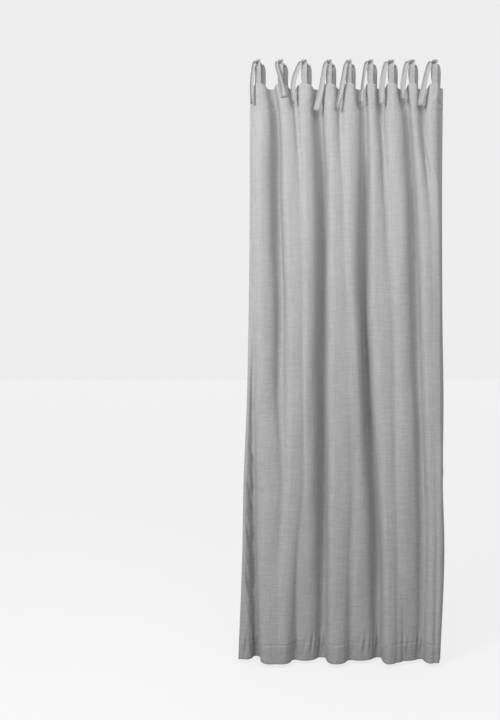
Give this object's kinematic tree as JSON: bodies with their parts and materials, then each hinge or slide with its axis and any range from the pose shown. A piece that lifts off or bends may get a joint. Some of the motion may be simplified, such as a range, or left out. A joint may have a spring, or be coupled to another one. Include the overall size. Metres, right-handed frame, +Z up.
{
  "type": "tie top curtain",
  "caption": "Unlined linen-look curtain panel that hangs in soft folds from sewn cloth ties knotted round a rod.",
  "frame": {"origin": "on the axis of the rod that the ties are knotted round, above the middle of the panel", "axes": "+Z up, +X along the rod to the right as seen from the front, and the front of the cloth faces -Y"},
  "size_m": [0.7719, 0.0818, 2.2157],
  "materials": {
    "cloth": "matt slubbed linen-look weave",
    "ties": "matt slubbed linen-look weave, two layers"
  },
  "bodies": {
    "root": {"panel": "cloth", "header_facing": "cloth", "tie_1_front_strip": "ties", "tie_1_back_strip": "ties", "tie_2_front_strip": "ties", "tie_2_back_strip": "ties", "tie_3_front_strip": "ties", "tie_3_back_strip": "ties", "tie_4_front_strip": "ties", "tie_4_back_strip": "ties", "tie_5_front_strip": "ties", "tie_5_back_strip": "ties", "tie_6_front_strip": "ties", "tie_6_back_strip": "ties", "tie_7_front_strip": "ties", "tie_7_back_strip": "ties", "tie_8_front_strip": "ties", "tie_8_back_strip": "ties", "tie_9_front_strip": "ties", "tie_9_back_strip": "ties"}
  },
  "joints": []
}
